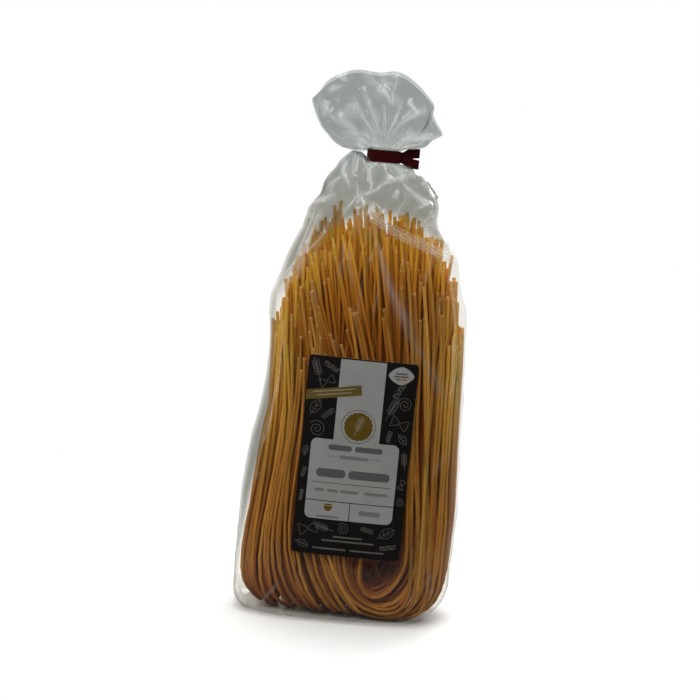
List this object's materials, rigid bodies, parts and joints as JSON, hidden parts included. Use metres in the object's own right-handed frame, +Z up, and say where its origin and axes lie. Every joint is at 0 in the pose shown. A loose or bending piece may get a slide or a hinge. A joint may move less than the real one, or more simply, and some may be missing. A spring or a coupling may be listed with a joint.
{
  "type": "bag of spaghetti",
  "caption": "Clear film bag of long dried spaghetti that stands on its foot, gathered at the neck by a clip band, with an open fan of film above it and a printed paper label in front.",
  "frame": {"origin": "middle of the foot that the bag stands on", "axes": "+Z up along the noodles to the open mouth of the film, -Y towards the label, +X to the right as the label is looked at, towards the tails of the clip"},
  "size_m": [0.1097, 0.0507, 0.2733],
  "materials": {
    "noodles": "satin dried egg pasta, slightly see-through, golden at the cut ends and browner at the bends",
    "film": "thin clear polypropylene film, glossy, creased and pleated, hazy where it is gathered",
    "label_paper": "satin coated paper, black print with a white panel, a gold seal and a gold band, edges white",
    "clip_plastic": "satin burgundy paper and plastic band, heat sealed to itself"
  },
  "bodies": {
    "root": {"bag": "noodles", "clip": "clip_plastic", "label": "label_paper"}
  },
  "joints": []
}
